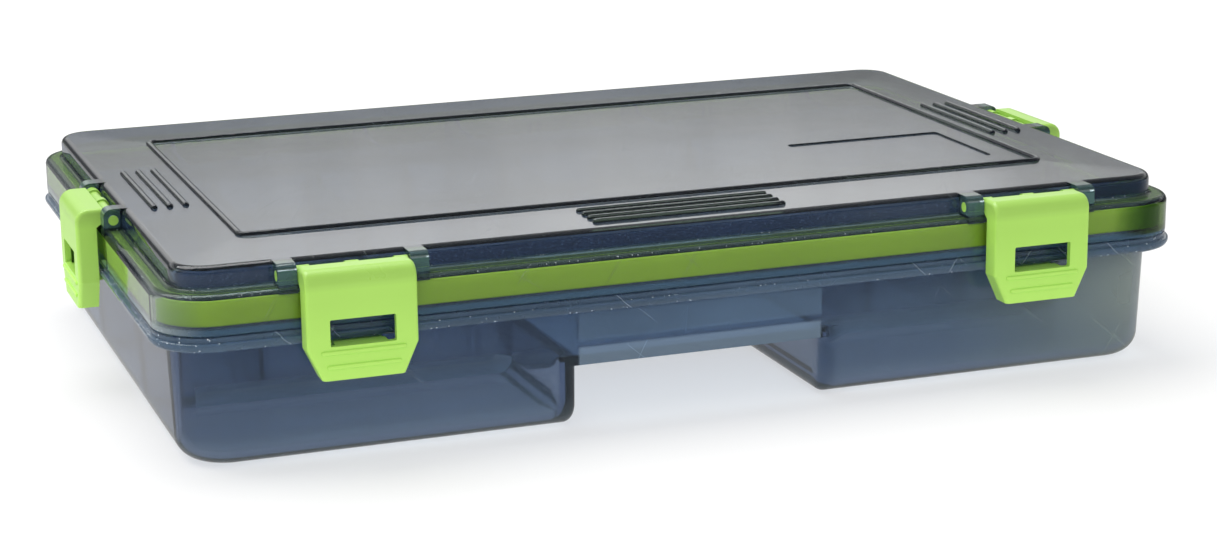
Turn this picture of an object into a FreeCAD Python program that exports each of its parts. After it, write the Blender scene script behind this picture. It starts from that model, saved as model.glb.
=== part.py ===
import FreeCAD, Part
import math
import os
import Sketcher

# A flat waterproof lure box: a moulded tub with a hinged lid, a green seal under
# the lid's brim, four over-centre latches on the lid and loose dividers in slots.
# Millimetres. +X runs along the length, +Y to the hinges, +Z up, and the origin
# is the centre of the underside.

os.makedirs("parts", exist_ok=True)
doc = FreeCAD.newDocument("lure_box")

# ---------------------------------------------------------------- sizes
SIZES = [
    ("skirt_x", 171.0, "half length over the lid's skirt"),
    ("skirt_y", 114.5, "half width over the lid's skirt"),
    ("skirt_corner", 17.5, "corner radius of the skirt seen from above"),
    ("skin", 2.0, "wall thickness of the lid"),
    ("lid_bottom", 43.2, "height of the skirt's lower edge"),
    ("brim_top", 55.5, "height of the brim round the raised top"),
    ("brim_round", 2.3, "rounding of the brim's outer edge"),
    ("crown_x", 165.0, "half length of the raised top"),
    ("crown_y", 108.0, "half width of the raised top"),
    ("crown_corner", 11.0, "corner radius of the raised top"),
    ("crown_top", 62.85, "height of the raised top"),
    ("crown_fall", 0.2, "fall of the border from the bead to the edge"),
    ("crown_round", 2.4, "rounding of the raised top's edge"),
    ("crown_foot", 1.2, "rounding where the raised top meets the brim"),
    ("bead_x", 138.0, "half length of the raised bead's rectangle"),
    ("bead_y", 74.4, "half width of the raised bead's rectangle"),
    ("bead_wide", 2.2, "width of the bead and of the grip ribs"),
    ("bead_high", 1.1, "height of the bead and of the grip ribs"),
    ("label_left", 69.2, "left side of the label recess"),
    ("label_right", 127.4, "right side of the label recess"),
    ("label_front", 60.4, "front side of the label recess"),
    ("label_back", 17.6, "rear side of the label recess"),
    ("label_deep", 0.5, "depth of the label recess"),
    ("side_rib_x", 150.2, "middle one of three grip ribs at each end"),
    ("side_rib_step", 5.1, "spacing of the end ribs"),
    ("side_rib_half", 28.2, "half length of the end ribs"),
    ("front_rib_y", 84.0, "rearmost of the four front grip ribs"),
    ("front_rib_step", 5.1, "spacing of the front ribs"),
    ("front_rib_half", 32.6, "half length of the front ribs"),
    ("tub_x", 164.4, "half length of the tub at its underside"),
    ("tub_y", 107.9, "half width of the tub at its underside"),
    ("tub_corner", 16.0, "corner radius of the tub at its underside"),
    ("tub_draft", 2.2, "draft of the tub's walls in degrees"),
    ("tub_round", 7.5, "rounding of the tub's lower edge"),
    ("rim_bottom", 38.2, "height of the rim's underside"),
    ("rim_top", 42.9, "height of the rim's upper face"),
    ("rim_round", 2.1, "rounding under the rim's lip"),
    ("rim_neck", 1.7, "height of the neck between the rim's lip and the lid"),
    ("neck_back", 0.2, "how far the neck is set back from the skirt's face"),
    ("rim_proud", 1.0, "how far the rim stands out past the skirt"),
    ("lip_x", 165.0, "half length of the sealing lip above the rim"),
    ("lip_y", 108.5, "half width of the sealing lip"),
    ("lip_top", 52.0, "height of the sealing lip"),
    ("cave_x", 162.3, "half length of the hollow"),
    ("cave_y", 105.6, "half width of the hollow"),
    ("cave_corner", 13.5, "corner radius of the hollow"),
    ("cell_corner", 6.0, "corner radius beside the fixed walls"),
    ("cell_round", 5.0, "rounding of the floor's edges"),
    ("floor_top", 2.8, "height of the floor"),
    ("web", 2.0, "thickness of the fixed walls"),
    ("front_web_y", 40.0, "front fixed wall, from the middle towards the front"),
    ("back_web_y", 35.0, "rear fixed wall, from the middle towards the back"),
    ("web_top", 58.0, "height of the fixed walls"),
    ("notch_x", 41.5, "half length of the hand notch under the front"),
    ("notch_top", 20.0, "height of the hand notch"),
    ("notch_round", 3.5, "rounding of the notch's outline"),
    ("slot_step", 36.0, "spacing of the divider slots"),
    ("slot_gap", 1.8, "width of a divider slot"),
    ("slot_rib", 1.4, "width and depth of a slot's ribs"),
    ("slot_top", 50.5, "height of the slot ribs"),
    ("plate", 1.6, "thickness of a divider"),
    ("plate_top", 57.0, "height of a divider's upper edge"),
    ("plate_play", 0.3, "gap at each end of a divider"),
    ("seal_low", 45.7, "height of the seal's lower edge"),
    ("seal_play", 0.35, "gap between the seal and the lip"),
    ("pivot_in", 3.2, "latch pivot, inside the skirt's outer face"),
    ("pivot_z", 58.9, "height of the latch pivots"),
    ("pivot_pin", 1.6, "radius of a latch's pins"),
    ("pivot_fit", 0.08, "running clearance round a latch's pins"),
    ("lug_reach", 3.15, "how far a lug reaches past the pivot"),
    ("lug_round", 2.6, "rounding of a lug's upper corner"),
    ("lug_wide", 5.7, "thickness of a lug"),
    ("lug_root", 3.2, "how far a lug runs into the raised top"),
    ("lug_foot", 2.3, "how far a lug runs down past the brim"),
    ("lug_gap", 0.3, "gap between a lug and the latch"),
    ("latch_x", 112.9, "middle of a front latch from the middle of the box"),
    ("latch_half", 17.0, "half width of a latch"),
    ("latch_proud", 8.0, "how far a latch stands out past the skirt"),
    ("latch_top", 2.8, "latch's top above the pivot"),
    ("latch_low", 30.6, "latch's lower edge below the pivot"),
    ("latch_skin", 2.0, "wall thickness of a latch"),
    ("latch_back", 4.6, "rear edge of the cheeks, out from the pivot"),
    ("latch_round", 4.5, "rounding of a latch's shoulder"),
    ("latch_edge", 1.4, "rounding of a latch's upright edges"),
    ("bevel_low", 12.7, "half width of a latch's lower edge"),
    ("bevel_start", 21.3, "start of the lower bevels below the pivot"),
    ("window_half", 10.05, "half width of a latch's window"),
    ("window_top", 12.1, "upper edge of the window below the pivot"),
    ("window_low", 20.3, "lower edge of the window below the pivot"),
    ("grip_high", 22.1, "upper grip rib below the pivot"),
    ("grip_low", 26.5, "lower grip rib below the pivot"),
    ("barrel", 1.9, "radius of a latch's barrel"),
    ("collar", 2.5, "radius of the barrel's collars"),
    ("collar_wide", 4.0, "width of the barrel's collars"),
    ("hook_half", 8.0, "half width of the hook"),
    ("hook_tip", 1.2, "hook's tip, out from the pivot"),
    ("hook_top", 21.0, "hook's upper face below the pivot"),
    ("hook_thick", 2.0, "thickness of the hook"),
    ("hinge_y", 119.9, "hinge axis from the middle"),
    ("hinge_z", 44.0, "height of the hinge axis"),
    ("hinge_x", 112.0, "outer hinges from the middle"),
    ("knuckle", 3.2, "radius of a hinge knuckle"),
    ("knuckle_lid", 14.0, "width of the lid's knuckle"),
    ("knuckle_tub", 9.0, "width of each of the tub's knuckles"),
    ("knuckle_gap", 0.3, "gap between knuckles"),
    ("hinge_pin", 1.5, "radius of a hinge pin"),
    ("hinge_fit", 0.06, "running clearance round a hinge pin"),
]

sheet = doc.addObject("Spreadsheet::Sheet", "dims")
for row, (name, value, note) in enumerate(SIZES, 1):
    sheet.set("A%d" % row, name)
    sheet.set("B%d" % row, str(value))
    sheet.set("C%d" % row, note)
    sheet.setAlias("B%d" % row, name)
doc.recompute()


class Size:
    """A length: its value now and the sheet expression that drives it."""

    def __init__(self, value, text):
        self.value = float(value)
        self.text = text

    def __add__(self, other):
        other = size(other)
        return Size(self.value + other.value, "(%s + %s)" % (self.text, other.text))

    def __sub__(self, other):
        other = size(other)
        return Size(self.value - other.value, "(%s - %s)" % (self.text, other.text))

    def __mul__(self, other):
        other = size(other)
        return Size(self.value * other.value, "(%s * %s)" % (self.text, other.text))

    def __truediv__(self, other):
        other = size(other)
        return Size(self.value / other.value, "(%s / %s)" % (self.text, other.text))

    def __neg__(self):
        return Size(-self.value, "(0 - %s)" % self.text)


def size(number):
    if isinstance(number, Size):
        return number
    if number < 0:
        return Size(number, "(0 - %r)" % -float(number))
    return Size(number, "%r" % float(number))


D = {name: Size(value, "dims.%s" % name) for name, value, note in SIZES}


# ---------------------------------------------------------------- drawing aids
def new_body(label):
    body = doc.addObject("PartDesign::Body", "body_" + label)
    body.Label = label
    return body


def new_sketch(body, role, offset):
    plane = [item for item in body.Origin.OriginFeatures if item.Role == role][0]
    sketch = body.newObject("Sketcher::SketchObject", "outline")
    sketch.AttachmentSupport = (plane, [""])
    sketch.MapMode = "FlatFace"
    offset = size(offset)
    sketch.AttachmentOffset = FreeCAD.Placement(FreeCAD.Vector(0, 0, offset.value), FreeCAD.Rotation())
    sketch.setExpression(".AttachmentOffset.Base.z", offset.text)
    return sketch


def hold(sketch, kind, args, value):
    number = sketch.addConstraint(Sketcher.Constraint(kind, *args, value.value))
    sketch.setExpression("Constraints[%d]" % number, value.text)


def hold_point(sketch, item, end, x, y):
    for kind, axis, value in (("DistanceX", -2, size(x)), ("DistanceY", -1, size(y))):
        if abs(value.value) < 1e-9:
            sketch.addConstraint(Sketcher.Constraint("PointOnObject", item, end, axis))
        else:
            hold(sketch, kind, (-1, 1, item, end), value)


def draw_polygon(sketch, points):
    points = [(size(x), size(y)) for x, y in points]
    places = [FreeCAD.Vector(x.value, y.value, 0) for x, y in points]
    first = sketch.GeometryCount
    count = len(points)
    for k in range(count):
        sketch.addGeometry(Part.LineSegment(places[k], places[(k + 1) % count]), False)
    for k in range(count):
        after = first + (k + 1) % count
        sketch.addConstraint(Sketcher.Constraint("Coincident", first + k, 2, after, 1))
    for k, (x, y) in enumerate(points):
        hold_point(sketch, first + k, 1, x, y)


def draw_box(sketch, left, right, low, high, radii):
    """A rectangle with its own radius at each corner, from the lower left one round."""
    left, right, low, high = size(left), size(right), size(low), size(high)
    radii = [size(r) for r in radii]
    r = [item.value for item in radii]
    x0, x1, y0, y1 = left.value, right.value, low.value, high.value
    ends = [((x0 + r[0], y0), (x1 - r[1], y0)), ((x1, y0 + r[1]), (x1, y1 - r[2])),
            ((x1 - r[2], y1), (x0 + r[3], y1)), ((x0, y1 - r[3]), (x0, y0 + r[0]))]
    centres = [(x1 - r[1], y0 + r[1]), (x1 - r[2], y1 - r[2]), (x0 + r[3], y1 - r[3]), (x0 + r[0], y0 + r[0])]
    turns = [radii[1], radii[2], radii[3], radii[0]]
    first = sketch.GeometryCount
    for k in range(4):
        a, b = ends[k]
        sketch.addGeometry(Part.LineSegment(FreeCAD.Vector(*a, 0), FreeCAD.Vector(*b, 0)), False)
        circle = Part.Circle(FreeCAD.Vector(*centres[k], 0), FreeCAD.Vector(0, 0, 1), turns[k].value)
        start = math.radians(90 * k - 90)
        sketch.addGeometry(Part.ArcOfCircle(circle, start, start + math.pi / 2), False)
    for k in range(4):
        line, arc, after = first + 2 * k, first + 2 * k + 1, first + (2 * k + 2) % 8
        sketch.addConstraint(Sketcher.Constraint("Tangent", line, 2, arc, 1))
        sketch.addConstraint(Sketcher.Constraint("Tangent", arc, 2, after, 1))
        sketch.addConstraint(Sketcher.Constraint("Horizontal" if k % 2 == 0 else "Vertical", line))
        hold(sketch, "Radius", (arc,), turns[k])
    hold(sketch, "DistanceY", (-1, 1, first, 1), low)
    hold(sketch, "DistanceX", (-1, 1, first + 2, 1), right)
    hold(sketch, "DistanceY", (-1, 1, first + 4, 1), high)
    hold(sketch, "DistanceX", (-1, 1, first + 6, 1), left)


def draw_circle(sketch, x, y, radius):
    x, y, radius = size(x), size(y), size(radius)
    item = sketch.addGeometry(Part.Circle(FreeCAD.Vector(x.value, y.value, 0), FreeCAD.Vector(0, 0, 1),
                                          radius.value), False)
    hold_point(sketch, item, 3, x, y)
    hold(sketch, "Radius", (item,), radius)


def add(body, sketch, length, kind="PartDesign::Pad", back=False, taper=None):
    """A pad along the sketch's normal, or a pocket against it; back turns it round."""
    feature = body.newObject(kind, kind.split("::")[1].lower())
    feature.Profile = sketch
    length = size(length)
    feature.Length = length.value
    feature.setExpression("Length", length.text)
    feature.Reversed = back
    if taper is not None:
        feature.TaperAngle = taper.value
        feature.setExpression("TaperAngle", taper.text)
    sketch.Visibility = False
    body.Tip = feature
    doc.recompute()
    return feature


def cut(body, sketch, depth, back=False):
    before = body.Shape.Volume
    feature = add(body, sketch, depth, "PartDesign::Pocket", back)
    if body.Shape.Volume > before - 1e-6:
        raise RuntimeError("a pocket in %s removes nothing" % body.Label)
    return feature


def round_edges(body, radius, test):
    base = body.Tip
    picked = []
    for number, edge in enumerate(base.Shape.Edges, 1):
        if test(edge.BoundBox):
            picked.append("Edge%d" % number)
    if not picked:
        raise RuntimeError("no edge to round in %s" % body.Label)
    radius = size(radius)
    feature = body.newObject("PartDesign::Fillet", "round")
    feature.Base = (base, picked)
    feature.Radius = radius.value
    feature.setExpression("Radius", radius.text)
    body.Tip = feature
    doc.recompute()
    if "Invalid" in feature.State or not feature.Shape.isValid():
        raise RuntimeError("the rounding of %s %s failed" % (body.Label, picked))
    return feature


def place(body, x, y, z, turn=0.0):
    x, y, z = size(x), size(y), size(z)
    body.Placement = FreeCAD.Placement(FreeCAD.Vector(x.value, y.value, z.value),
                                       FreeCAD.Rotation(FreeCAD.Vector(0, 0, 1), turn))
    for axis, value in (("x", x), ("y", y), ("z", z)):
        body.setExpression(".Placement.Base." + axis, value.text)


def near(a, b):
    return abs(a - size(b).value) < 0.05


def level(box, height):
    return near(box.ZMin, height) and near(box.ZMax, height)


def reaches(box, half_x, half_y):
    return near(max(abs(box.XMin), abs(box.XMax)), half_x) or near(max(abs(box.YMin), abs(box.YMax)), half_y)


def within(box, half_x, half_y):
    wide, deep = max(abs(box.XMin), abs(box.XMax)), max(abs(box.YMin), abs(box.YMax))
    return wide < half_x.value + 0.05 and deep < half_y.value + 0.05


# ---------------------------------------------------------------- tub
# One moulding: drafted walls with a big rounding underneath, a rim with a round lip
# and a neck above it, a sealing lip inside the lid, two fixed walls along the length and a raised floor
# over the hand notch.
tub = new_body("base_tub")
sk = new_sketch(tub, "XY_Plane", 0)
draw_box(sk, -D["tub_x"], D["tub_x"], -D["tub_y"], D["tub_y"], [D["tub_corner"]] * 4)
add(tub, sk, D["rim_bottom"] + 2, taper=D["tub_draft"])
round_edges(tub, D["tub_round"], lambda b: level(b, 0))

rim_x = D["skirt_x"] + D["rim_proud"]
rim_y = D["skirt_y"] + D["rim_proud"]
lip_level = D["rim_top"] - D["rim_neck"]
sk = new_sketch(tub, "XY_Plane", D["rim_bottom"])
draw_box(sk, -rim_x, rim_x, -rim_y, rim_y, [D["skirt_corner"] + D["rim_proud"]] * 4)
add(tub, sk, lip_level - D["rim_bottom"])
round_edges(tub, D["rim_round"], lambda b: level(b, D["rim_bottom"]) and reaches(b, rim_x, rim_y))
round_edges(tub, 0.75, lambda b: level(b, lip_level))
neck_x = D["skirt_x"] - D["neck_back"]
neck_y = D["skirt_y"] - D["neck_back"]
sk = new_sketch(tub, "XY_Plane", lip_level - 1)
draw_box(sk, -neck_x, neck_x, -neck_y, neck_y, [D["skirt_corner"] - D["neck_back"]] * 4)
add(tub, sk, D["rim_neck"] + 1)

# Hinge knuckles behind the rim, one pair for each hinge.
hinge_places = [-D["hinge_x"], size(0), D["hinge_x"]]
knuckle_in = D["knuckle_lid"] / 2 + D["knuckle_gap"]
for middle in hinge_places:
    for start in (middle - knuckle_in - D["knuckle_tub"], middle + knuckle_in):
        sk = new_sketch(tub, "YZ_Plane", start)
        draw_polygon(sk, [(D["skirt_y"] - 1.0, D["rim_bottom"] + 1.4), (D["hinge_y"], D["hinge_z"] - D["knuckle"]),
                          (D["hinge_y"], D["hinge_z"]), (D["hinge_y"] - 3.0, D["hinge_z"]),
                          (rim_y - 0.7, D["rim_top"] - 0.2), (D["skirt_y"] - 1.0, D["rim_top"] - 0.2)])
        add(tub, sk, D["knuckle_tub"])
        sk = new_sketch(tub, "YZ_Plane", start)
        draw_circle(sk, D["hinge_y"], D["hinge_z"], D["knuckle"])
        add(tub, sk, D["knuckle_tub"])
    sk = new_sketch(tub, "YZ_Plane", middle + knuckle_in + D["knuckle_tub"] + 1)
    draw_circle(sk, D["hinge_y"], D["hinge_z"], D["hinge_pin"])
    cut(tub, sk, knuckle_in * 2 + D["knuckle_tub"] * 2 + 2)

sk = new_sketch(tub, "XY_Plane", D["rim_top"] - 1)
draw_box(sk, -D["lip_x"], D["lip_x"], -D["lip_y"], D["lip_y"], [D["skirt_corner"] - 6] * 4)
add(tub, sk, D["lip_top"] - D["rim_top"] + 1)
round_edges(tub, 0.8, lambda b: level(b, D["lip_top"]))

# The hollows: the rear row, the middle row and the two deep bays of the front row.
back_low = D["back_web_y"] + D["web"] / 2
mid_high = D["back_web_y"] - D["web"] / 2
mid_low = D["web"] / 2 - D["front_web_y"]
front_high = -D["front_web_y"] - D["web"] / 2
bay_x = D["notch_x"] + D["web"]
deep = D["lip_top"] - D["floor_top"]
big, small = D["cave_corner"], D["cell_corner"]
HOLLOWS = [
    (-D["cave_x"], D["cave_x"], back_low, D["cave_y"], [small, small, big, big]),
    (-D["cave_x"], D["cave_x"], mid_low, mid_high, [small] * 4),
    (-D["cave_x"], -bay_x, -D["cave_y"], front_high, [big, small, small, small]),
    (bay_x, D["cave_x"], -D["cave_y"], front_high, [small, big, small, small]),
]
for left, right, low, high, radii in HOLLOWS:
    sk = new_sketch(tub, "XY_Plane", D["lip_top"])
    draw_box(sk, left, right, low, high, radii)
    cut(tub, sk, deep)
    edges = (size(left).value - 0.1, size(right).value + 0.1, size(low).value - 0.1, size(high).value + 0.1)
    round_edges(tub, D["cell_round"], lambda b: level(b, D["floor_top"]) and b.XMin > edges[0]
                and b.XMax < edges[1] and b.YMin > edges[2] and b.YMax < edges[3])
sk = new_sketch(tub, "XY_Plane", D["lip_top"])
shelf_x = bay_x + D["cell_corner"] + 1
draw_polygon(sk, [(-shelf_x, -D["cave_y"]), (shelf_x, -D["cave_y"]), (shelf_x, front_high), (-shelf_x, front_high)])
cut(tub, sk, D["lip_top"] - D["notch_top"] - D["floor_top"])

# The fixed walls go on up past the lip.
for middle in (-D["front_web_y"], D["back_web_y"]):
    sk = new_sketch(tub, "XY_Plane", D["lip_top"] - 1)
    draw_box(sk, -D["cave_x"] - 0.2, D["cave_x"] + 0.2, middle - D["web"] / 2, middle + D["web"] / 2, [0.5] * 4)
    add(tub, sk, D["web_top"] - D["lip_top"] + 1)

# Hand notch, open to the front and underneath.
sk = new_sketch(tub, "XY_Plane", 0)
draw_box(sk, -D["notch_x"], D["notch_x"], -D["tub_y"] - 12, front_high, [1.0, 1.0, 4.0, 4.0])
cut(tub, sk, D["notch_top"], back=True)
round_edges(tub, D["notch_round"], lambda b: level(b, 0) and b.YMax < front_high.value + 0.1
            and b.XMin > -D["notch_x"].value - 0.1 and b.XMax < D["notch_x"].value + 0.1)

# Slots for the loose dividers: pairs of ribs on both faces of a row.
SLOTS = 8
slot_places = [D["slot_step"] * (k - (SLOTS - 1) / 2) for k in range(SLOTS)]
length_axis = [item for item in tub.Origin.OriginFeatures if item.Role == "X_Axis"][0]
for low, high in ((mid_low, mid_high), (back_low, D["cave_y"])):
    sk = new_sketch(tub, "XY_Plane", D["floor_top"] - 0.5)
    for side in (-1, 1):
        inner = slot_places[0] + D["slot_gap"] * side / 2
        outer = inner + D["slot_rib"] * side
        for a, b in ((low - 0.5, low + D["slot_rib"]), (high - D["slot_rib"], high + 0.5)):
            draw_polygon(sk, [(inner, a), (outer, a), (outer, b), (inner, b)])
    ribs = add(tub, sk, D["slot_top"] - D["floor_top"] + 0.5)
    row = tub.newObject("PartDesign::LinearPattern", "slots")
    row.Originals = [ribs]
    row.Direction = (length_axis, [""])
    row.Occurrences = SLOTS
    row.Length = D["slot_step"].value * (SLOTS - 1)
    row.setExpression("Length", "dims.slot_step * %d" % (SLOTS - 1))
    tub.Tip = row
    doc.recompute()

# ---------------------------------------------------------------- loose dividers
# Thin plates that drop into the slots: lower corners cut to clear the floor's
# rounding, a shallow dip along the top and one stiffening bead.
MID_SLOTS = (0, 1, 3, 4, 6, 7)
BACK_SLOTS = (0, 2, 3, 5, 7)
dividers = [("divider_mid_%d" % (n + 1), k, mid_low, mid_high) for n, k in enumerate(MID_SLOTS)]
dividers += [("divider_rear_%d" % (n + 1), k, back_low, D["cave_y"]) for n, k in enumerate(BACK_SLOTS)]
for label, slot, low, high in dividers:
    body = new_body(label)
    half = (high - low) / 2 - D["plate_play"]
    tall = D["plate_top"] - D["floor_top"]
    lean = D["cell_round"] + 0.3
    sk = new_sketch(body, "YZ_Plane", -D["plate"] / 2)
    draw_polygon(sk, [(-half + lean, 0), (half - lean, 0), (half, lean), (half, tall - 4), (half - 4, tall),
                      (half - 14, tall), (half - 18, tall - 3), (18 - half.value, tall - 3),
                      (-half + 14, tall), (-half + 4, tall), (-half, tall - 4), (-half, lean)])
    add(body, sk, D["plate"])
    sk = new_sketch(body, "YZ_Plane", D["plate"] / 2 - 0.1)
    draw_box(sk, -half + 8, half - 8, tall - 9, tall - 7, [0.9] * 4)
    add(body, sk, 0.5)
    place(body, slot_places[slot], (low + high) / 2, D["floor_top"])

# ---------------------------------------------------------------- lid
# One moulding: skirt, brim and raised top with a sloping border, a bead and grip
# ribs, a shallow label recess, eight lugs for the latches and three hinge knuckles.
lid = new_body("lid_shell")
sk = new_sketch(lid, "XY_Plane", D["lid_bottom"])
draw_box(sk, -D["skirt_x"], D["skirt_x"], -D["skirt_y"], D["skirt_y"], [D["skirt_corner"]] * 4)
add(lid, sk, D["brim_top"] - D["lid_bottom"])
round_edges(lid, D["brim_round"], lambda b: level(b, D["brim_top"]))
sk = new_sketch(lid, "XY_Plane", D["brim_top"] - 1)
draw_box(sk, -D["crown_x"], D["crown_x"], -D["crown_y"], D["crown_y"], [D["crown_corner"]] * 4)
edge_level = D["crown_top"] - D["crown_fall"]
add(lid, sk, edge_level - D["brim_top"] + 1)
round_edges(lid, D["crown_round"], lambda b: level(b, edge_level))
round_edges(lid, D["crown_foot"], lambda b: level(b, D["brim_top"]) and within(b, D["crown_x"], D["crown_y"]))
# Lugs: a pair for each latch, from the raised top out to the skirt's face.
pivot_y = D["skirt_y"] - D["pivot_in"]
pivot_x = D["skirt_x"] - D["pivot_in"]
lug_in = D["latch_half"] + D["lug_gap"]
lug_out = lug_in + D["lug_wide"]
LUGS = [("YZ_Plane", middle + edge, -1, pivot_y, D["crown_y"])
        for middle in (-D["latch_x"], D["latch_x"]) for edge in (-lug_out, lug_in)]
LUGS += [("XZ_Plane", edge, side, pivot_x, D["crown_x"]) for side in (-1, 1) for edge in (-lug_out, lug_in)]
for role, start, sign, reach, wall in LUGS:
    sk = new_sketch(lid, role, start)
    low, high = D["brim_top"] - D["lug_foot"], edge_level
    near_side, far_side = wall - D["lug_root"], reach + D["lug_reach"]
    if sign > 0:
        draw_box(sk, near_side, far_side, low, high, [0.3, 0.3, D["lug_round"], 0.3])
    else:
        draw_box(sk, -far_side, -near_side, low, high, [0.3, 0.3, 0.3, D["lug_round"]])
    add(lid, sk, D["lug_wide"])
hole = D["pivot_pin"] + D["pivot_fit"]
for middle in (-D["latch_x"], D["latch_x"]):
    sk = new_sketch(lid, "YZ_Plane", middle + lug_out + 1)
    draw_circle(sk, -pivot_y, D["pivot_z"], hole)
    cut(lid, sk, lug_out * 2 + 2)
for side in (-1, 1):
    sk = new_sketch(lid, "XZ_Plane", lug_out + 1)
    draw_circle(sk, pivot_x * side, D["pivot_z"], hole)
    cut(lid, sk, lug_out * 2 + 2)

# Hinge knuckles on the rear of the skirt.
for middle in hinge_places:
    start = middle - D["knuckle_lid"] / 2
    sk = new_sketch(lid, "YZ_Plane", start)
    draw_polygon(sk, [(D["skirt_y"] - 0.6, D["lid_bottom"] + 0.9), (D["hinge_y"] - 3.0, D["hinge_z"]),
                      (D["hinge_y"], D["hinge_z"]), (D["hinge_y"] + 0.6, D["hinge_z"] + 3.1),
                      (D["skirt_y"] + 1.0, D["hinge_z"] + 7.0), (D["skirt_y"] - 0.6, D["hinge_z"] + 7.0)])
    add(lid, sk, D["knuckle_lid"])
    sk = new_sketch(lid, "YZ_Plane", start)
    draw_circle(sk, D["hinge_y"], D["hinge_z"], D["knuckle"])
    add(lid, sk, D["knuckle_lid"])
    sk = new_sketch(lid, "YZ_Plane", middle + D["knuckle_lid"] / 2 + 1)
    draw_circle(sk, D["hinge_y"], D["hinge_z"], D["hinge_pin"] + D["hinge_fit"])
    cut(lid, sk, D["knuckle_lid"] + 2)

inset = D["crown_round"] + 0.2
border = []
for half_x, half_y, corner, height in (
        (D["crown_x"] - inset, D["crown_y"] - inset, D["crown_corner"] - inset, edge_level),
        (D["bead_x"], D["bead_y"], size(0.6), D["crown_top"])):
    sk = new_sketch(lid, "XY_Plane", height)
    draw_box(sk, -half_x, half_x, -half_y, half_y, [corner] * 4)
    border.append(sk)
slope = lid.newObject("PartDesign::AdditiveLoft", "slope")
slope.Profile = border[0]
slope.Sections = [border[1]]
slope.Ruled = True
lid.Tip = slope
doc.recompute()

# Hollow underneath: the channel under the brim, then the space inside the top.
sk = new_sketch(lid, "XY_Plane", D["lid_bottom"])
in_x = D["skirt_x"] - D["skin"]
in_y = D["skirt_y"] - D["skin"]
draw_box(sk, -in_x, in_x, -in_y, in_y, [D["skirt_corner"] - D["skin"]] * 4)
cut(lid, sk, D["brim_top"] - D["skin"] - D["lid_bottom"], back=True)
sk = new_sketch(lid, "XY_Plane", D["brim_top"] - D["skin"] - 1)
in_x = D["crown_x"] - D["skin"]
in_y = D["crown_y"] - D["skin"]
draw_box(sk, -in_x, in_x, -in_y, in_y, [D["crown_corner"] - D["skin"]] * 4)
cut(lid, sk, D["crown_top"] - D["brim_top"] + 1, back=True)
round_edges(lid, 0.6, lambda b: level(b, D["lid_bottom"]) and reaches(b, D["skirt_x"], D["skirt_y"]))

# Bead, grip ribs and label recess.
half_bead = D["bead_wide"] / 2
sk = new_sketch(lid, "XY_Plane", D["crown_top"] - 0.4)
draw_box(sk, -D["bead_x"] - half_bead, D["bead_x"] + half_bead,
         -D["bead_y"] - half_bead, D["bead_y"] + half_bead, [4.0] * 4)
draw_box(sk, -D["bead_x"] + half_bead, D["bead_x"] - half_bead,
         -D["bead_y"] + half_bead, D["bead_y"] - half_bead, [1.8] * 4)
add(lid, sk, D["bead_high"] + 0.4)
round_edges(lid, 1.0, lambda b: level(b, D["crown_top"] + D["bead_high"]))
rib_r = half_bead - 0.05
sk = new_sketch(lid, "XY_Plane", edge_level - 0.4)
for side in (-1, 1):
    for k in (-1, 0, 1):
        middle = (D["side_rib_x"] + D["side_rib_step"] * k) * side
        draw_box(sk, middle - half_bead, middle + half_bead, -D["side_rib_half"], D["side_rib_half"], [rib_r] * 4)
for k in range(4):
    middle = -D["front_rib_y"] - D["front_rib_step"] * k
    draw_box(sk, -D["front_rib_half"], D["front_rib_half"], middle - half_bead, middle + half_bead, [rib_r] * 4)
add(lid, sk, D["bead_high"] + 0.5)
rib_top = edge_level + D["bead_high"] + 0.1
round_edges(lid, 1.0, lambda b: level(b, rib_top))
sk = new_sketch(lid, "XY_Plane", D["crown_top"])
draw_box(sk, D["label_left"], D["label_right"], -D["label_front"], -D["label_back"], [1.5] * 4)
cut(lid, sk, D["label_deep"])

# ---------------------------------------------------------------- seal
# A soft ring pressed up into the channel under the brim.
seal = new_body("lid_seal")
sk = new_sketch(seal, "XY_Plane", D["seal_low"])
out_x = D["skirt_x"] - D["skin"]
out_y = D["skirt_y"] - D["skin"]
draw_box(sk, -out_x, out_x, -out_y, out_y, [D["skirt_corner"] - D["skin"]] * 4)
in_x = D["lip_x"] + D["seal_play"]
in_y = D["lip_y"] + D["seal_play"]
draw_box(sk, -in_x, in_x, -in_y, in_y, [D["skirt_corner"] - 6 + D["seal_play"]] * 4)
add(seal, sk, D["brim_top"] - D["skin"] - D["seal_low"])
round_edges(seal, 0.8, lambda b: level(b, D["seal_low"]))

# ---------------------------------------------------------------- hinge pins
for label, middle in zip(("hinge_pin_left", "hinge_pin_mid", "hinge_pin_right"), hinge_places):
    body = new_body(label)
    reach = knuckle_in + D["knuckle_tub"]
    sk = new_sketch(body, "YZ_Plane", -reach)
    draw_circle(sk, 0, 0, D["hinge_pin"])
    rod = add(body, sk, reach * 2)
    rims = ["Edge%d" % n for n, edge in enumerate(rod.Shape.Edges, 1) if edge.BoundBox.XLength < 0.01]
    chamfer = body.newObject("PartDesign::Chamfer", "ends")
    chamfer.Base = (rod, rims)
    chamfer.Size = 0.3
    body.Tip = chamfer
    doc.recompute()
    place(body, middle, D["hinge_y"], D["hinge_z"])

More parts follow.
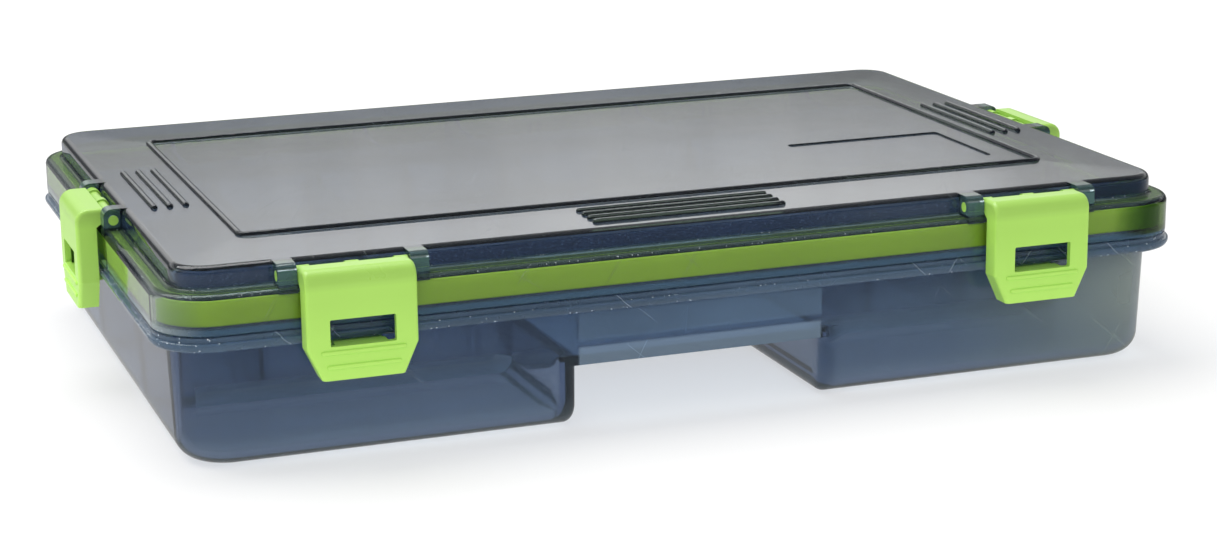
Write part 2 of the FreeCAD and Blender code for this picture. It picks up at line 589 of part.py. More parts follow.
# ---------------------------------------------------------------- latches
# Each is one moulding, drawn with its pivot at the origin, its front towards -Y
# and hanging down: a boxed plate open at the back, a window, two grip ribs, a hook
# that reaches under the tub's rim, and a thin barrel with three collars and pins.
LATCHES = [
    ("latch_front_left", -D["latch_x"], -pivot_y, 0.0),
    ("latch_front_right", D["latch_x"], -pivot_y, 0.0),
    ("latch_side_left", -pivot_x, size(0), -90.0),
    ("latch_side_right", pivot_x, size(0), 90.0),
]
face = D["latch_proud"] + D["pivot_in"]
wide = D["latch_half"]
inner = wide - D["latch_skin"]
for label, at_x, at_y, turn in LATCHES:
    body = new_body(label)
    sk = new_sketch(body, "YZ_Plane", -wide)
    draw_polygon(sk, [(-2.3, D["latch_top"]), (-face, D["latch_top"]), (-face, -D["latch_low"]),
                      (-D["latch_back"], -D["latch_low"]), (-D["latch_back"], -3.4), (-2.3, -1.6)])
    add(body, sk, wide * 2)
    # bevels at the lower corners
    sk = new_sketch(body, "XZ_Plane", face + 1)
    for sign in (-1, 1):
        draw_polygon(sk, [(D["bevel_low"] * sign, -D["latch_low"]), (wide * sign, -D["bevel_start"]),
                          ((wide + 1) * sign, -D["bevel_start"]), ((wide + 1) * sign, -D["latch_low"] - 1),
                          (D["bevel_low"] * sign, -D["latch_low"] - 1)])
    cut(body, sk, face + 2)
    round_edges(body, D["latch_round"], lambda b: b.XLength > wide.value * 1.9
                and near(b.YMin, -face) and near(b.ZMax, D["latch_top"]))
    round_edges(body, D["latch_edge"], lambda b: near(b.YMax, -face) and near(b.YMin, -face) and b.ZLength > 1)
    # the open back
    sk = new_sketch(body, "XZ_Plane", 1.0)
    low = D["latch_low"] - D["latch_skin"]
    draw_polygon(sk, [(-inner, D["latch_top"] - D["latch_skin"]), (-inner, -D["bevel_start"] + 0.4),
                      (-D["bevel_low"] + 1.0, -low), (D["bevel_low"] - 1.0, -low),
                      (inner, -D["bevel_start"] + 0.4), (inner, D["latch_top"] - D["latch_skin"])])
    cut(body, sk, face - D["latch_skin"] - 1.0, back=True)
    # the window and the grip ribs under it
    sk = new_sketch(body, "XZ_Plane", face + 1)
    draw_box(sk, -D["window_half"], D["window_half"], -D["window_low"], -D["window_top"], [0.5] * 4)
    cut(body, sk, D["latch_skin"] + 1.5)
    sk = new_sketch(body, "XZ_Plane", face - 0.3)
    for drop, half in ((D["grip_high"], D["bevel_low"] + 0.3), (D["grip_low"], D["bevel_low"] - 1.3)):
        draw_box(sk, -half, half, -drop - 0.65, -drop + 0.65, [0.6] * 4)
    add(body, sk, 0.9)
    round_edges(body, 0.45, lambda b: near(b.YMax, -face - 0.6) and near(b.YMin, -face - 0.6))
    # the hook, lower where it passes under the rim
    root = face - D["latch_skin"] + 0.4
    step = D["rim_proud"] + D["pivot_in"] + 0.8
    sk = new_sketch(body, "YZ_Plane", -D["hook_half"])
    draw_polygon(sk, [(-root, -D["window_low"] - 0.05), (-step, -D["window_low"] - 0.05), (-step, -D["hook_top"]),
                      (-D["hook_tip"], -D["hook_top"]), (-D["hook_tip"], -D["hook_top"] - 1.2),
                      (-D["hook_tip"] - 1, -D["hook_top"] - D["hook_thick"]),
                      (-root, -D["hook_top"] - D["hook_thick"])])
    add(body, sk, D["hook_half"] * 2)
    # barrel, its collars and the pins
    pieces = [(-wide, wide * 2, D["barrel"]), (-lug_out, lug_out * 2, D["pivot_pin"])]
    pieces += [(middle - D["collar_wide"] / 2, D["collar_wide"], D["collar"])
               for middle in (-wide + D["collar_wide"] / 2, size(0), wide - D["collar_wide"] / 2)]
    for start, length, radius in pieces:
        sk = new_sketch(body, "YZ_Plane", start)
        draw_circle(sk, 0, 0, radius)
        add(body, sk, length)
    place(body, at_x, at_y, D["pivot_z"], turn)

# ---------------------------------------------------------------- writing
doc.recompute()
bodies = [item for item in doc.Objects if item.TypeId == "PartDesign::Body"]
for item in doc.Objects:
    bad = [word for word in item.State if word in ("Invalid", "Error")]
    if bad:
        raise RuntimeError("%s is %s" % (item.Label, bad))
for body in bodies:
    shape = body.Shape
    if shape.isNull() or not shape.isValid() or len(shape.Solids) != 1:
        raise RuntimeError("%s has a bad shape" % body.Label)
    shape.exportStep("parts/%s.step" % body.Label)
    box = shape.BoundBox
    print("%-20s %9.0f mm3  x %.2f %.2f  y %.2f %.2f  z %.2f %.2f" % (
        body.Label, shape.Volume, box.XMin, box.XMax, box.YMin, box.YMax, box.ZMin, box.ZMax))
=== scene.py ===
import math
import bpy
from mathutils import Matrix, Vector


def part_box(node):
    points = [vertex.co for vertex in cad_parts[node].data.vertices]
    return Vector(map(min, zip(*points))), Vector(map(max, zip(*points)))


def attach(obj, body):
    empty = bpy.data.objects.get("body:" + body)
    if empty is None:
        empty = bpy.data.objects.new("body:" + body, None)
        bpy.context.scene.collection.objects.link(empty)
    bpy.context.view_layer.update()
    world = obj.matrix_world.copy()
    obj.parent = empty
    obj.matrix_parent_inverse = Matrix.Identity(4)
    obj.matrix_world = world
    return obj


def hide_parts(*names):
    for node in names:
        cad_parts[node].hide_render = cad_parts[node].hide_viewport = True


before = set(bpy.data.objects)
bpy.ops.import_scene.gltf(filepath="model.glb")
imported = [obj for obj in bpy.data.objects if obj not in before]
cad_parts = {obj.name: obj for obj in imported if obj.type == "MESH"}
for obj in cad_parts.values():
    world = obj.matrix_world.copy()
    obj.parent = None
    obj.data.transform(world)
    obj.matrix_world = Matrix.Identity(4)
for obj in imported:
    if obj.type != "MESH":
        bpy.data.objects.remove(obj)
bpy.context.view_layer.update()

# Tub: one moulding of clear polypropylene, tinted smoky blue and slightly milky. It leaves
# the mould glossy, with faint flow bands. Handling adds fine scratches and specks of dust,
# and the plastic looks milkier where it is thick or rubbed.
plastic_ior = 1.49
smoke_density = 400.0
shadow_clear = (0.95, 0.96, 0.97)
full_shine = (1.0, 1.0, 1.0)
# Painted shade: the turned-down mirror colour used in one band of the lid.
dimmed_shine = (0.42, 0.42, 0.42)

tub_smoke = (0.32, 0.44, 0.63)
tub_milk = (0.13, 0.21, 0.31)
tub_milk_share = 0.10
tub_gloss = 0.05
tub_wear = 0.6
tub_ledges = (0.0385, 0.0412, 0.0428)
# Painted light: colours for the lighter right end, the foot of the front wall, the bottom edge and
# the hand notch.
tub_end_painted_light = (0.36, 0.42, 0.36)
tub_foot_painted_light = (0.75, 0.84, 0.86)
tub_base_painted_light = (0.28, 0.36, 0.40)
notch_painted_light = (0.30, 0.42, 0.56)

flow_stretch = (1.0, 1.0, 2.4)
flow_scale = 9.0
flow_edges = (0.35, 0.65)
flow_dark, flow_light = 0.85, 1.2
cloud_scale = 22.0
cloud_edges = (0.3, 0.75)
cloud_height = 0.6
least_rough, most_rough = 0.5, 0.9
skin_bump = 0.12
skin_depth = 0.0005

mark_pale = (0.75, 0.79, 0.80)
mark_share = 0.6
mark_height = 0.25
scratch_spacing = 0.011
scratch_width = 0.00012
scratch_turns = (((0.0, 0.85, 0.3), 1.0), ((0.0, -0.6, 0.6), 1.6))
scratch_drift = 14.0
scratch_patches = 38.0
patch_edges = (0.56, 0.64)
speck_scale = 800.0
speck_share = 0.012
speck_edges = (0.20, 0.30)
ledge_speck_scale = 1000.0
ledge_speck_share = 0.30
ledge_near, ledge_far = 0.0004, 0.0016
crisp = 0.0006


def new_material(name):
    material = bpy.data.materials.new(name)
    material.use_nodes = True
    material.node_tree.nodes.clear()
    return material, material.node_tree


def feed(tree, socket, value):
    if isinstance(value, bpy.types.NodeSocket):
        tree.links.new(value, socket)
    elif socket.type == "RGBA":
        socket.default_value = (*value, 1.0)
    else:
        socket.default_value = value


def add_node(tree, kind, **sockets):
    node = tree.nodes.new(kind)
    for key, value in sockets.items():
        feed(tree, node.inputs[key.replace("_", " ")], value)
    return node


def math_node(tree, operation, *numbers, clamp=False):
    node = tree.nodes.new("ShaderNodeMath")
    node.operation = operation
    node.use_clamp = clamp
    for socket, number in zip(node.inputs, numbers):
        feed(tree, socket, number)
    return node.outputs[0]


def distance_from(tree, value, middle):
    return math_node(tree, "ABSOLUTE", math_node(tree, "SUBTRACT", value, middle))


def remap(tree, value, low, high, out_low=0.0, out_high=1.0):
    node = add_node(tree, "ShaderNodeMapRange", Value=value, From_Min=low, From_Max=high,
                    To_Min=out_low, To_Max=out_high)
    node.clamp = True
    return node.outputs["Result"]


def mix_colour(tree, factor, first, second):
    node = tree.nodes.new("ShaderNodeMix")
    node.data_type = "RGBA"
    for place, value in ((0, factor), (6, first), (7, second)):
        feed(tree, node.inputs[place], value)
    return node.outputs[2]


def mix_shaders(tree, factor, first, second):
    node = add_node(tree, "ShaderNodeMixShader", Fac=factor)
    feed(tree, node.inputs[1], first.outputs[0])
    feed(tree, node.inputs[2], second.outputs[0])
    return node


def place_axes(tree):
    where = tree.nodes.new("ShaderNodeTexCoord")
    return add_node(tree, "ShaderNodeSeparateXYZ", Vector=where.outputs["Object"]).outputs


def place_coordinates(tree, stretch=(1.0, 1.0, 1.0), turn=(0.0, 0.0, 0.0)):
    where = tree.nodes.new("ShaderNodeTexCoord")
    mapping = add_node(tree, "ShaderNodeMapping", Vector=where.outputs["Object"],
                       Scale=stretch, Rotation=turn)
    return mapping.outputs["Vector"]


def noise(tree, vector, scale, detail=2.0, roughness=0.5, distortion=0.0):
    node = add_node(tree, "ShaderNodeTexNoise", Vector=vector, Scale=scale, Detail=detail,
                    Roughness=roughness, Distortion=distortion)
    return node.outputs["Fac"]


def shaded(colour, level):
    return [part * level for part in colour]


def surface_bump(tree, height, strength, distance):
    bump = add_node(tree, "ShaderNodeBump", Strength=strength, Distance=distance, Height=height)
    return bump.outputs["Normal"]


def put_surface(tree, shader, volume=None):
    output = add_node(tree, "ShaderNodeOutputMaterial", Surface=shader.outputs[0])
    if volume:
        feed(tree, output.inputs["Volume"], volume.outputs[0])


def hairline_scratches(tree, turn, spacing):
    axes = add_node(tree, "ShaderNodeSeparateXYZ", Vector=place_coordinates(tree, turn=turn))
    drift = noise(tree, place_coordinates(tree), scratch_drift, detail=1.0)
    rows = math_node(tree, "MULTIPLY", axes.outputs["X"], 1.0 / spacing)
    rows = math_node(tree, "ADD", rows, drift)
    off_line = distance_from(tree, math_node(tree, "FRACT", rows), 0.5)
    return remap(tree, off_line, 0.0, scratch_width / spacing, 1.0, 0.0)


def dust_specks(tree, scale, share):
    grains = add_node(tree, "ShaderNodeTexVoronoi", Vector=place_coordinates(tree), Scale=scale)
    dots = remap(tree, grains.outputs["Distance"], *speck_edges, 1.0, 0.0)
    chosen = math_node(tree, "LESS_THAN", grains.outputs["Color"], share)
    return math_node(tree, "MULTIPLY", dots, chosen)


def ledge_dust(tree, ledges):
    height = place_axes(tree)["Z"]
    band = 0.0
    for ledge in ledges:
        near = remap(tree, distance_from(tree, height, ledge), ledge_near, ledge_far, 1.0, 0.0)
        band = math_node(tree, "MAXIMUM", band, near)
    specks = dust_specks(tree, ledge_speck_scale, ledge_speck_share)
    return math_node(tree, "MULTIPLY", specks, band)


def wear_marks(tree, wear, ledges):
    first, second = (hairline_scratches(tree, turn, scratch_spacing * wider)
                     for turn, wider in scratch_turns)
    patches = noise(tree, place_coordinates(tree), scratch_patches, detail=1.0)
    scratches = math_node(tree, "MULTIPLY", math_node(tree, "MAXIMUM", first, second),
                          remap(tree, patches, *patch_edges))
    marks = math_node(tree, "MAXIMUM", scratches, dust_specks(tree, speck_scale, speck_share))
    marks = math_node(tree, "MULTIPLY", marks, wear)
    return math_node(tree, "MAXIMUM", marks, ledge_dust(tree, ledges)) if ledges else marks


# Each span is where the zone starts, where it ends, and how far it takes to fade.
def zone(x=None, y=None, z=None, milkier=0.0, milk=None, tint=None):
    return (x, y, z), milkier, milk, tint


def inside_box(tree, spans):
    axes = place_axes(tree)
    inside = 1.0
    for axis, span in enumerate(spans):
        start, end, fade = span or (None, None, None)
        if start is not None:
            after = remap(tree, axes[axis], start, start + fade)
            inside = math_node(tree, "MULTIPLY", inside, after)
        if end is not None:
            before = remap(tree, axes[axis], end - fade, end, 1.0, 0.0)
            inside = math_node(tree, "MULTIPLY", inside, before)
    return inside


def smoky_plastic(name, smoke, milk, milk_share, gloss, wear, ledges=(), zones=(), dimmed_band=None):
    material, tree = new_material(name)
    flow = noise(tree, place_coordinates(tree, flow_stretch), flow_scale, detail=3.0,
                 roughness=0.55, distortion=0.6)
    cloud = noise(tree, place_coordinates(tree), cloud_scale)
    marks = wear_marks(tree, wear, ledges)

    colour = mix_colour(tree, remap(tree, flow, *flow_edges), shaded(milk, flow_dark),
                        shaded(milk, flow_light))
    colour = mix_colour(tree, marks, colour, mark_pale)
    share = math_node(tree, "ADD", math_node(tree, "MULTIPLY", marks, mark_share), milk_share,
                      clamp=True)
    through = (1.0, 1.0, 1.0)
    # Zones make the plastic milkier, change its milk colour or tint what shows through; the tables
    # use them for painted light and painted shade as well as for thicker plastic.
    for spans, milkier, zone_milk, tint in zones:
        inside = inside_box(tree, spans)
        if milkier:
            more = math_node(tree, "MULTIPLY", inside, milkier)
            share = math_node(tree, "ADD", share, more, clamp=True)
        if zone_milk:
            colour = mix_colour(tree, inside, colour, zone_milk)
        if tint:
            through = mix_colour(tree, inside, through, tint)
    # Inside the given band the mirror colour is turned down, a painted shade over the reflection.
    shine = mix_colour(tree, inside_box(tree, dimmed_band), full_shine, dimmed_shine) if dimmed_band else full_shine

    height = math_node(tree, "ADD", math_node(tree, "MULTIPLY", cloud, cloud_height),
                       math_node(tree, "MULTIPLY", marks, mark_height))
    skin = surface_bump(tree, height, skin_bump, skin_depth)
    rough = remap(tree, cloud, *cloud_edges, gloss * least_rough, gloss * most_rough)
    bent = add_node(tree, "ShaderNodeBsdfRefraction", Color=through, Roughness=rough,
                    IOR=plastic_ior, Normal=skin)
    body = add_node(tree, "ShaderNodeBsdfDiffuse", Color=colour, Normal=skin)
    glaze = add_node(tree, "ShaderNodeBsdfAnisotropic", Color=shine, Roughness=rough, Normal=skin)
    mirror = add_node(tree, "ShaderNodeFresnel", IOR=plastic_ior, Normal=skin)
    plastic = mix_shaders(tree, mirror.outputs["Fac"], mix_shaders(tree, share, bent, body), glaze)
    light_way = tree.nodes.new("ShaderNodeLightPath")
    clear = add_node(tree, "ShaderNodeBsdfTransparent", Color=shadow_clear)
    put_surface(tree, mix_shaders(tree, light_way.outputs["Is Shadow Ray"], plastic, clear),
                add_node(tree, "ShaderNodeVolumeAbsorption", Color=smoke, Density=smoke_density))
    return material


def dress(node_name, material):
    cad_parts[node_name].material_slots[0].material = material


notch_x = (-0.0415, 0.0415, 0.0008)
notch_y = (None, -0.038, 0.0008)
tub_zones = (
    # The rim, then the two bands of the hand notch, lighter with painted light from the floor under
    # it.
    zone(z=(0.0375, 0.0430, crisp), milkier=0.34),
    zone(x=notch_x, y=notch_y, z=(0.0275, 0.0372, 0.0008), milkier=0.34),
    zone(x=notch_x, y=notch_y, z=(0.0190, 0.0262, 0.0008), milkier=0.36, milk=notch_painted_light),
    # Painted light along the foot of the front fixed wall and along the bottom edge of the whole
    # tub.
    zone(x=(-0.1510, 0.1510, 0.001), y=(-0.0480, -0.0405, 0.001), z=(0.0020, 0.0085, 0.001),
         milkier=0.80, milk=tub_foot_painted_light),
    zone(z=(None, 0.0110, 0.008), milkier=0.16, milk=tub_base_painted_light),
    # Painted light on the front bay right of the notch and on the right end, less of it low at the
    # right end.
    zone(x=(0.045, None, 0.008), y=(None, -0.1, 0.008), z=(0.0120, 0.0372, 0.008), milkier=0.12),
    zone(x=(0.085, None, 0.070), z=(None, 0.0378, 0.001), milkier=0.30, milk=tub_end_painted_light),
    zone(x=(0.085, None, 0.070), z=(None, 0.0120, 0.006), milkier=-0.14),
)
dress("base_tub", smoky_plastic("smoky_tub_plastic", tub_smoke, tub_milk, tub_milk_share,
                                tub_gloss, tub_wear, tub_ledges, tub_zones))

# Loose dividers: thin plates moulded in the same smoky plastic, pushed down into the slots.
# Their faces are milkier and duller than the tub's, because the slots scuff them.
divider_smoke = (0.45, 0.53, 0.62)
divider_milk = (0.16, 0.20, 0.26)
divider_milk_share = 0.16
divider_gloss = 0.14
divider_wear = 0.8
divider_rows = (("mid", 6), ("rear", 5))

divider_plastic = smoky_plastic("smoky_divider_plastic", divider_smoke, divider_milk,
                                divider_milk_share, divider_gloss, divider_wear)
for row, count in divider_rows:
    for number in range(1, count + 1):
        dress(f"divider_{row}_{number}", divider_plastic)

# Lid: one moulding of the same smoky plastic as the tub. Its flat raised top mirrors the
# room at a low angle, its skirt hangs round the seal, and its lugs carry the latches.
lid_smoke = (0.72, 0.78, 0.70)
lid_milk = (0.09, 0.14, 0.22)
lid_milk_share = 0.06
lid_gloss = 0.06
lid_wear = 0.45
lid_ledges = (0.0434, 0.0556)
# Painted shade: the mirror reflection on the brim and its rounding is turned down in this band.
brim_dimmed_reflection_band = (None, None, (0.0530, 0.0570, crisp))
brim_top = 0.0562
crown_top = 0.0607
skirt_edge_milk = (0.08, 0.17, 0.29)
skirt_edge_tint = (0.86, 0.96, 1.0)
skirt_shade_milk = (0.03, 0.06, 0.02)
skirt_shade_tint = (0.50, 0.62, 0.35)
# Painted light for the skirt's left end; painted shade for the brim, the raised top's walls and
# top, their right end and the lugs, with painted light at the walls' front.
skirt_end_painted_light = (0.40, 0.46, 0.48)
brim_painted_shade = (0.08, 0.13, 0.07)
brim_shade_tint = (0.72, 0.76, 0.72)
crown_painted_shade = (0.027, 0.047, 0.100)
crown_corner_painted_light = (0.080, 0.108, 0.170)
crown_end_painted_shade = (0.005, 0.020, 0.045)
wall_shade_tint = (0.64, 0.73, 0.92)
top_shade_tint = (0.68, 0.68, 0.72)
lug_painted_shade = (0.08, 0.16, 0.16)
lug_shade_share = 0.28

crown_wall = (brim_top, crown_top, crisp)
crown_front = (None, -0.08, 0.01)
above_brim = (brim_top, None, crisp)
skirt_left = (None, -0.158, 0.012)
lid_zones = (
    # The skirt: its lower edge, its clear middle, painted shade on its right corner and painted
    # light on its left end.
    zone(z=(0.0430, 0.0456, crisp), milkier=0.30, milk=skirt_edge_milk, tint=skirt_edge_tint),
    zone(z=(0.0460, 0.0535, crisp), milkier=-0.05),
    zone(x=(0.144, None, 0.012), y=(None, -0.06, 0.02), z=(0.0440, 0.0545, crisp),
         milk=skirt_shade_milk, tint=skirt_shade_tint),
    zone(x=skirt_left, y=(0.0, None, 0.02), z=(0.0430, 0.0560, crisp), milkier=0.12,
         milk=skirt_end_painted_light),
    zone(x=skirt_left, y=(None, -0.07, 0.02), z=(0.0430, 0.0560, crisp), milkier=0.16,
         milk=skirt_end_painted_light),
    # The brim, the walls of the raised top and the top itself, in painted shade, with painted light
    # on the walls' front.
    zone(z=(0.0548, brim_top, crisp), milkier=0.38, milk=brim_painted_shade, tint=brim_shade_tint),
    zone(z=above_brim, tint=wall_shade_tint),
    zone(z=crown_wall, milkier=0.26, milk=crown_painted_shade),
    zone(x=(None, -0.09, 0.05), y=crown_front, z=crown_wall, milk=crown_corner_painted_light),
    zone(z=(crown_top, None, crisp), tint=top_shade_tint),
    zone(x=(0.030, 0.125, 0.03), y=crown_front, z=crown_wall, milk=crown_corner_painted_light),
    zone(x=(0.125, None, 0.02), z=crown_wall, milkier=0.50, milk=crown_end_painted_shade),
    # The lugs at the front and at each end, darkened with painted shade.
    zone(y=(None, -0.1085, crisp), z=above_brim, milkier=lug_shade_share, milk=lug_painted_shade),
    zone(x=(None, -0.1655, crisp), z=above_brim, milkier=lug_shade_share, milk=lug_painted_shade),
    zone(x=(0.1655, None, crisp), z=above_brim, milkier=lug_shade_share, milk=lug_painted_shade),
)
dress("lid_shell", smoky_plastic("smoky_lid_plastic", lid_smoke, lid_milk, lid_milk_share,
                                 lid_gloss, lid_wear, lid_ledges, lid_zones, brim_dimmed_reflection_band))

# Seal: a soft lime-green rubber ring pressed into the channel under the lid's brim. It is
# moulded in one piece, with three sealing lips on its inner side, and shows through the skirt.
seal_green = (0.60, 0.95, 0.06)
seal_low, seal_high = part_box("lid_seal")
seal_play = 0.0001
seal_gap = 0.00005
seal_width = 0.0034
seal_bend = 0.0155
seal_bend_steps = 14
edge_round = 0.0005
edge_steps = 4
lip_count = 3
lip_steps = 10
lip_reach = 0.0009
lip_fullness = 0.7
noise_edges = (0.3, 0.7)
rubber_grain = 420.0
rubber_cloud = 24.0
rubber_dark = 0.82
rubber_bump, rubber_depth = 0.15, 0.0003
rubber_rough = (0.42, 0.60)


def seal_section():
    bottom, top = seal_low.z + seal_gap, seal_high.z - seal_gap
    angles = [math.pi / 2 * step / edge_steps for step in range(edge_steps + 1)]
    points = [(edge_round * (math.sin(angle) - 1.0), top + edge_round * (math.cos(angle) - 1.0))
              for angle in angles]
    points += [(edge_round * (math.cos(angle) - 1.0), bottom - edge_round * (math.sin(angle) - 1.0))
               for angle in angles]
    steps = lip_count * lip_steps
    for step in range(steps + 1):
        share = step / steps
        wave = 0.5 - 0.5 * math.cos(2 * math.pi * lip_count * share)
        points.append((-seal_width + lip_reach * (1.0 - wave ** lip_fullness),
                       bottom + (top - bottom) * share))
    return points


def swept_ring(name, half_x, half_y, bend, steps, section):
    route = []
    for corner, (side_x, side_y) in enumerate(((1, 1), (-1, 1), (-1, -1), (1, -1))):
        for step in range(steps + 1):
            angle = math.pi / 2 * (corner + step / steps)
            route.append((side_x * (half_x - bend), side_y * (half_y - bend),
                          math.cos(angle), math.sin(angle)))
    vertices = [(x + (bend + out) * cos, y + (bend + out) * sin, z)
                for x, y, cos, sin in route for out, z in section]
    count, rows = len(section), len(route)
    faces = []
    for row in range(rows):
        here, ahead = row * count, (row + 1) % rows * count
        for at in range(count):
            beside = (at + 1) % count
            faces.append((ahead + at, ahead + beside, here + beside, here + at))
    mesh = bpy.data.meshes.new(name)
    mesh.from_pydata(vertices, [], faces)
    mesh.update()
    for polygon in mesh.polygons:
        polygon.use_smooth = True
    ring = bpy.data.objects.new(name, mesh)
    bpy.context.scene.collection.objects.link(ring)
    return ring


def rubber(name, colour):
    material, tree = new_material(name)
    grain = noise(tree, place_coordinates(tree), rubber_grain, detail=3.0, roughness=0.6)
    cloud = noise(tree, place_coordinates(tree), rubber_cloud, detail=3.0)
    shade = mix_colour(tree, cloud, colour, shaded(colour, rubber_dark))
    skin = surface_bump(tree, grain, rubber_bump, rubber_depth)
    put_surface(tree, add_node(tree, "ShaderNodeBsdfPrincipled", Base_Color=shade, Normal=skin,
                               Roughness=remap(tree, grain, *noise_edges, *rubber_rough)))
    return material


seal = swept_ring("seal_ring", seal_high.x - seal_play, seal_high.y - seal_play, seal_bend,
                  seal_bend_steps, seal_section())
seal.data.materials.append(rubber("lime_seal_rubber", seal_green))
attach(seal, "lid")
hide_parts("lid_seal")

# Hinge pins: short lengths of bright drawn steel wire, pushed through the knuckles of the
# tub and the lid. Drawing leaves fine streaks along them.
steel_grey = (0.56, 0.57, 0.58)
streak_stretch = (0.05, 1.0, 1.0)
streak_scale = 2600.0
streak_dark = 0.8
streak_bump, streak_depth = 0.12, 0.0001
steel_rough = (0.22, 0.38)


def drawn_steel(name, colour):
    material, tree = new_material(name)
    streaks = noise(tree, place_coordinates(tree, streak_stretch), streak_scale)
    shade = mix_colour(tree, streaks, colour, shaded(colour, streak_dark))
    skin = surface_bump(tree, streaks, streak_bump, streak_depth)
    rough = remap(tree, streaks, *noise_edges, *steel_rough)
    put_surface(tree, add_node(tree, "ShaderNodeBsdfPrincipled", Base_Color=shade, Metallic=1.0,
                               Roughness=rough, Normal=skin))
    return material


pin_steel = drawn_steel("drawn_pin_steel", steel_grey)
for side in ("left", "mid", "right"):
    dress(f"hinge_pin_{side}", pin_steel)

# Latches: four lime-green mouldings of tougher plastic. Each hangs on the pins at its top
# corners, and its hook snaps under the tub's rim. The faces are satin with faint flow marks,
# with painted shade near the top fold and painted light towards the hook.
latch_green = (0.46, 0.80, 0.138)
latch_flow_marks = (0.97, 0.98, 0.92)
latch_flow_scale = 42.0
latch_grain_scale = 700.0
latch_bump, latch_depth = 0.06, 0.0003
latch_rough = (0.27, 0.32)
# Painted shade near the top fold and painted light towards the hook.
fold_painted_shade = 0.74
fold_start, fold_end = 0.0555, 0.0600
hook_painted_light = 1.17
hook_start, hook_end = 0.052, 0.026


def lime_plastic(name, colour):
    material, tree = new_material(name)
    flow = noise(tree, place_coordinates(tree), latch_flow_scale, detail=3.0, distortion=0.4)
    grain = noise(tree, place_coordinates(tree), latch_grain_scale)
    height = place_axes(tree)["Z"]
    shade = mix_colour(tree, remap(tree, flow, *noise_edges), colour,
                       [part * mark for part, mark in zip(colour, latch_flow_marks)])
    # Painted shade towards the top fold, then painted light towards the hook.
    shade = mix_colour(tree, remap(tree, height, fold_start, fold_end), shade,
                       shaded(colour, fold_painted_shade))
    shade = mix_colour(tree, remap(tree, height, hook_start, hook_end), shade,
                       shaded(colour, hook_painted_light))
    skin = surface_bump(tree, grain, latch_bump, latch_depth)
    put_surface(tree, add_node(tree, "ShaderNodeBsdfPrincipled", Base_Color=shade, Normal=skin,
                               Roughness=remap(tree, flow, *noise_edges, *latch_rough)))
    return material


latch_plastic = lime_plastic("lime_latch_plastic", latch_green)
for place in ("front_left", "front_right", "side_left", "side_right"):
    dress(f"latch_{place}", latch_plastic)

# Floor: a wide sheet of pale paper under the box, which keeps its soft shadow. What the
# plastic mirrors of it, and what shows through the plastic, is kept below full white.
floor_half = 6.0
floor_drop = 0.0004
floor_grey = (0.84, 0.84, 0.84)
floor_white = (1.0, 1.0, 1.0)
floor_glow = 0.55
floor_front_shine, floor_rear_shine = 0.30, 0.65
floor_shine_start, floor_shine_end = -0.25, 0.0
floor_through = 0.62


def mix_number(tree, factor, first, second):
    node = tree.nodes.new("ShaderNodeMix")
    for place, value in ((0, factor), (2, first), (3, second)):
        feed(tree, node.inputs[place], value)
    return node.outputs[0]


def pale_paper(name):
    material, tree = new_material(name)
    light_way = tree.nodes.new("ShaderNodeLightPath").outputs
    paper = add_node(tree, "ShaderNodeBsdfDiffuse", Color=floor_grey)
    white = add_node(tree, "ShaderNodeEmission", Color=floor_white, Strength=1.0)
    seen = math_node(tree, "MULTIPLY", light_way["Is Camera Ray"], floor_glow)
    shine = remap(tree, place_axes(tree)["Y"], floor_shine_start, floor_shine_end,
                  floor_front_shine, floor_rear_shine)
    level = mix_number(tree, light_way["Is Transmission Ray"], shine, floor_through)
    mirrored = add_node(tree, "ShaderNodeEmission", Color=floor_white, Strength=level)
    put_surface(tree, mix_shaders(tree, light_way["Is Glossy Ray"],
                                  mix_shaders(tree, seen, paper, white), mirrored))
    return material


floor_corners = [(x * floor_half, y * floor_half, 0.0)
                 for x, y in ((-1, -1), (1, -1), (1, 1), (-1, 1))]
floor_mesh = bpy.data.meshes.new("floor")
floor_mesh.from_pydata(floor_corners, [], [(0, 1, 2, 3)])
floor_mesh.materials.append(pale_paper("pale_paper"))
floor = bpy.data.objects.new("floor", floor_mesh)
bpy.context.scene.collection.objects.link(floor)
floor.location.z = -floor_drop

# Light: an even pale room and one large soft lamp overhead, a little behind and to the left.
# The room that the gloss mirrors is darker low down, at the front and far to the right.
room_light = 0.80
room_white = (1.0, 1.0, 1.0)
room_rise = (0.17, 0.28, 0.25, 1.95)
room_ceiling = (0.30, 0.50, 1.0, 0.35)
room_front = (-0.4, 0.4, 0.35, 1.0)
room_left = (0.08, 0.40, 0.72, 1.28)
room_right = (0.42, 0.50, 1.0, 0.58)
room_patches = (0.35, 0.65, 0.89, 1.03)
room_patch_stretch = (26.0, 2.0, 5.0)
lamp_power = 26.0
lamp_size = (1.6, 1.2)
lamp_place = (-0.5, 0.5, 1.5)
lamp_tilt = (-12.0, -16.0, 0.0)

room = bpy.data.worlds.new("room")
bpy.context.scene.world = room
room.use_nodes = True
room_tree = room.node_tree
room_tree.nodes.clear()


def room_level(*levels):
    product = levels[0]
    for level in levels[1:]:
        product = math_node(room_tree, "MULTIPLY", product, level)
    return product


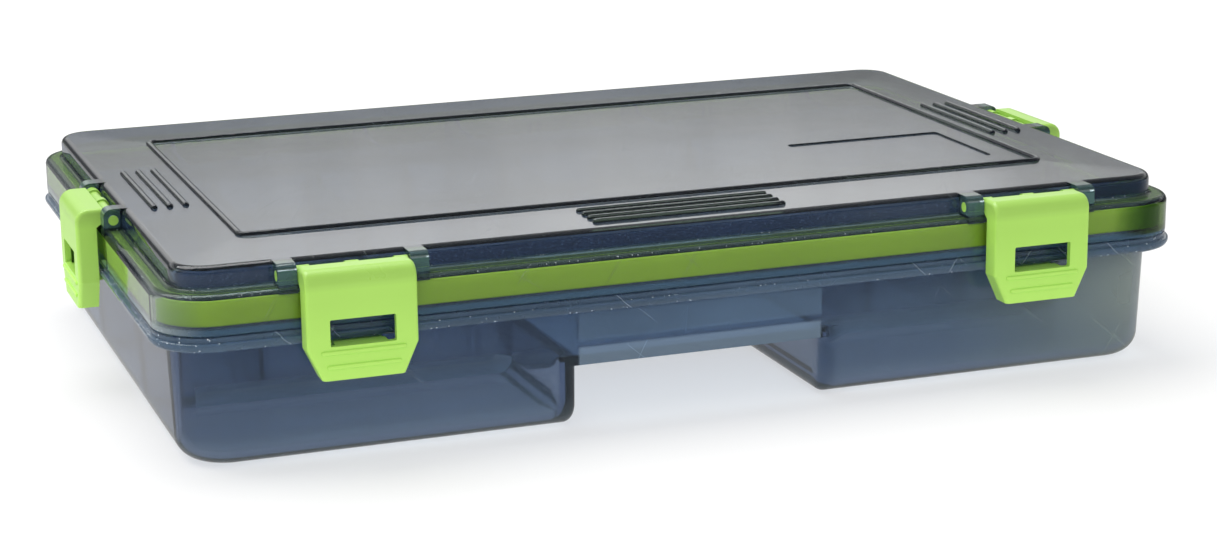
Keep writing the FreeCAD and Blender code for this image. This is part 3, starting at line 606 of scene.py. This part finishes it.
light_way = room_tree.nodes.new("ShaderNodeLightPath").outputs
room_way = room_tree.nodes.new("ShaderNodeTexCoord").outputs["Generated"]
room_x, room_y, room_z = add_node(room_tree, "ShaderNodeSeparateXYZ", Vector=room_way).outputs
room_patch_way = add_node(room_tree, "ShaderNodeMapping", Vector=room_way,
                          Scale=room_patch_stretch).outputs["Vector"]
room_mirrored = room_level(
    remap(room_tree, room_z, *room_rise),
    remap(room_tree, room_z, *room_ceiling),
    remap(room_tree, room_y, *room_front),
    remap(room_tree, room_x, *room_left),
    remap(room_tree, room_x, *room_right),
    remap(room_tree, noise(room_tree, room_patch_way, 1.0), *room_patches))
room_even = remap(room_tree, light_way["Is Camera Ray"], 0.0, 1.0, room_light, 1.0)
room_gloss = math_node(room_tree, "MULTIPLY", light_way["Is Glossy Ray"],
                       math_node(room_tree, "SUBTRACT", 1.0, light_way["Is Transmission Ray"]))
room_back = add_node(room_tree, "ShaderNodeBackground", Color=room_white,
                     Strength=mix_number(room_tree, room_gloss, room_even, room_mirrored))
add_node(room_tree, "ShaderNodeOutputWorld", Surface=room_back.outputs[0])

lamp_data = bpy.data.lights.new("overhead_lamp", "AREA")
lamp_data.shape = "RECTANGLE"
lamp_data.size, lamp_data.size_y = lamp_size
lamp_data.energy = lamp_power
lamp = bpy.data.objects.new("overhead_lamp", lamp_data)
bpy.context.scene.collection.objects.link(lamp)
lamp.location = lamp_place
lamp.rotation_euler = [math.radians(angle) for angle in lamp_tilt]

# Camera: stands a little left of the middle, at arm's length in front of the box, and looks
# slightly down on it.
camera_place = (-0.3044, -0.8553, 0.2569)
camera_turn = 0.351
camera_dip = 0.257
camera_roll = -0.011
camera_lens = 78.88
camera_film = 36.0
camera_near = 0.01

camera_data = bpy.data.cameras.new("camera")
camera_data.lens = camera_lens
camera_data.sensor_fit = "HORIZONTAL"
camera_data.sensor_width = camera_film
camera_data.clip_start = camera_near
camera = bpy.data.objects.new("camera", camera_data)
bpy.context.scene.collection.objects.link(camera)
camera.location = camera_place
aim = Matrix.Rotation(-camera_turn, 3, "Z") @ Matrix.Rotation(math.pi / 2 - camera_dip, 3, "X")
camera.rotation_euler = (aim @ Matrix.Rotation(camera_roll, 3, "Z")).to_euler()
bpy.context.scene.camera = camera
bpy.context.scene.view_settings.view_transform = "Standard"
